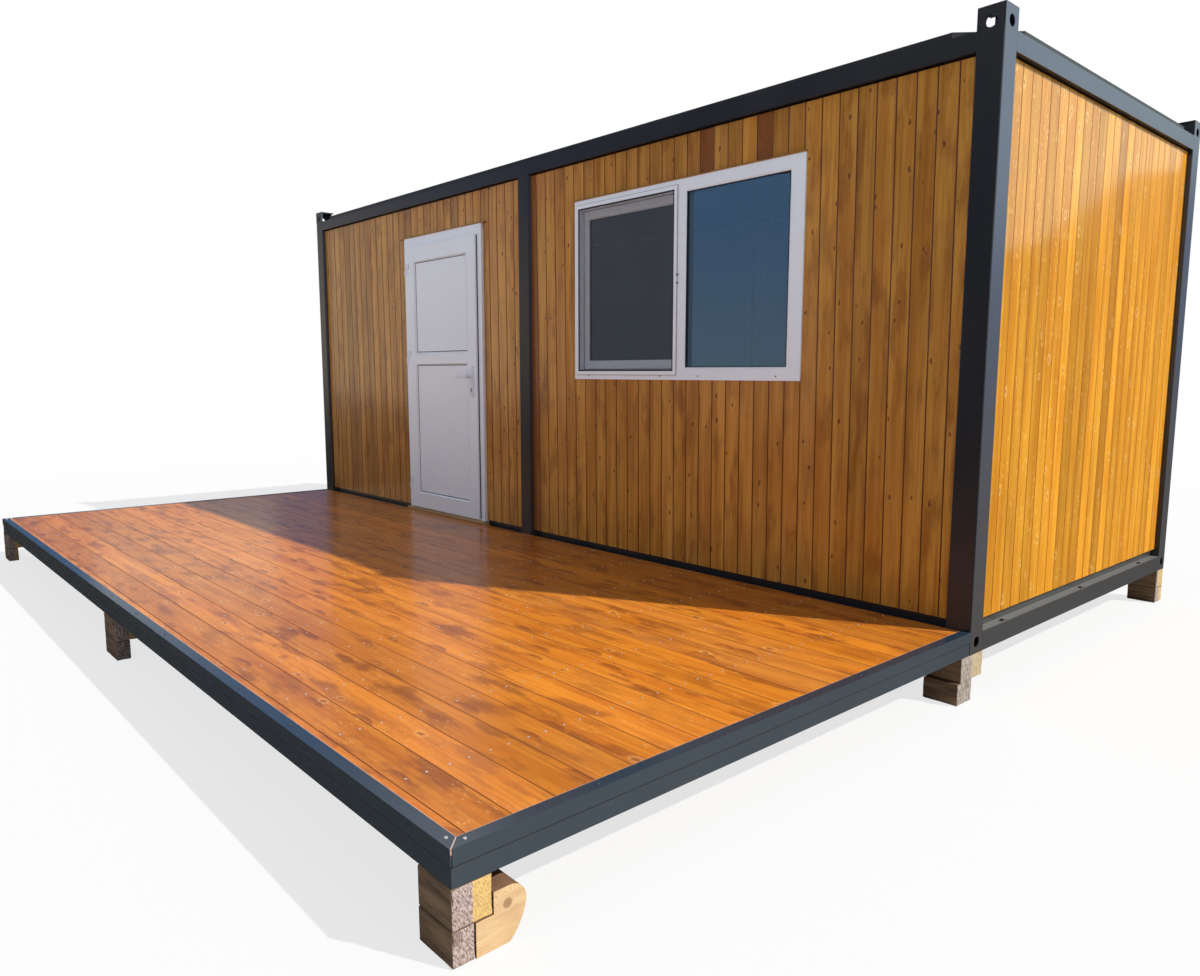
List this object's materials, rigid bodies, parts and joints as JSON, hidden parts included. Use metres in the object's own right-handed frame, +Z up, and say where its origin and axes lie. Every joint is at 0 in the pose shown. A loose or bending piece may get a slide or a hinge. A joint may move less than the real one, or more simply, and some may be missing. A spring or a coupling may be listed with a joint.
{
  "type": "shipping container cabin",
  "caption": "Steel-framed cabin of container form with lifting lugs, timber board cladding, a hinged door, a sliding window and a low timber deck, on loose timber blocks.",
  "frame": {"origin": "on the ground, under the middle of the cabin and its deck together", "axes": "+X along the length to the right when facing the door, +Y from the deck to the rear wall, +Z up"},
  "size_m": [6, 4.95, 2.725],
  "materials": {
    "frame_paint": "anthracite grey satin paint on welded steel, lightly dusty and scuffed",
    "structural_timber": "sawn softwood, untreated",
    "floor_sheet": "wood-effect sheet floor, satin",
    "wall_panel": "plain off-white lining on insulated panels",
    "varnished_cladding": "varnished tongue and groove pine boards, upright",
    "varnished_deck": "glossy stained pine deck boards",
    "white_plastic": "smooth white window and door profile",
    "pane_glass": "clear double glazing",
    "satin_metal": "white-coated and satin metal door furniture",
    "weathered_timber": "weathered sawn timber offcuts"
  },
  "bodies": {
    "cabin": {"bottom_rails_end": "frame_paint", "bottom_rails_long": "frame_paint", "ceiling_panel": "wall_panel", "corner_castings": "frame_paint", "corner_post_front_left": "frame_paint", "corner_post_front_right": "frame_paint", "corner_post_rear_left": "frame_paint", "corner_post_rear_right": "frame_paint", "deck_beams_end": "frame_paint", "deck_beams_long": "frame_paint", "deck_boards": "varnished_deck", "deck_joists": "structural_timber", "deck_trims": "frame_paint", "door_frame": "white_plastic", "door_sill_batten": "structural_timber", "end_cladding": "varnished_cladding", "end_wall_left": "wall_panel", "end_wall_right": "wall_panel", "floor_joists": "structural_timber", "floor_panel": "floor_sheet", "front_cladding": "varnished_cladding", "front_wall_below_window": "wall_panel", "front_wall_left_of_door": "wall_panel", "front_wall_left_of_window": "wall_panel", "front_wall_over_door": "wall_panel", "front_wall_over_window": "wall_panel", "front_wall_right_of_door": "wall_panel", "front_wall_right_of_window": "wall_panel", "hinge_pins": "satin_metal", "lifting_lugs": "frame_paint", "log_slab": "weathered_timber", "lower_blocks": "weathered_timber", "mid_posts": "frame_paint", "rear_cladding": "varnished_cladding", "rear_wall": "wall_panel", "roof_cover": "frame_paint", "screen_rim": "white_plastic", "top_rails_end": "frame_paint", "top_rails_long": "frame_paint", "upper_blocks": "weathered_timber", "window_frame": "white_plastic", "window_glass": "pane_glass", "window_sashes": "white_plastic"},
    "door": {"door_leaf": "white_plastic", "hinge_knuckles": "satin_metal", "lock_plates": "satin_metal"},
    "lever": {"lever_handle": "satin_metal"}
  },
  "joints": [
    {"name": "door_hinge", "type": "hinge", "parent": "cabin", "child": "door", "pos_m": [-1.4585, -0.003, 1.3], "axis": [0, 0, -1], "range_deg": [0, 110]},
    {"name": "lever_turn", "type": "hinge", "parent": "door", "child": "lever", "pos_m": [-0.584, 0.026, 1.314], "axis": [0, -1, 0], "range_deg": [0, 40], "stiffness_Nm_per_rad": 1.5}
  ]
}
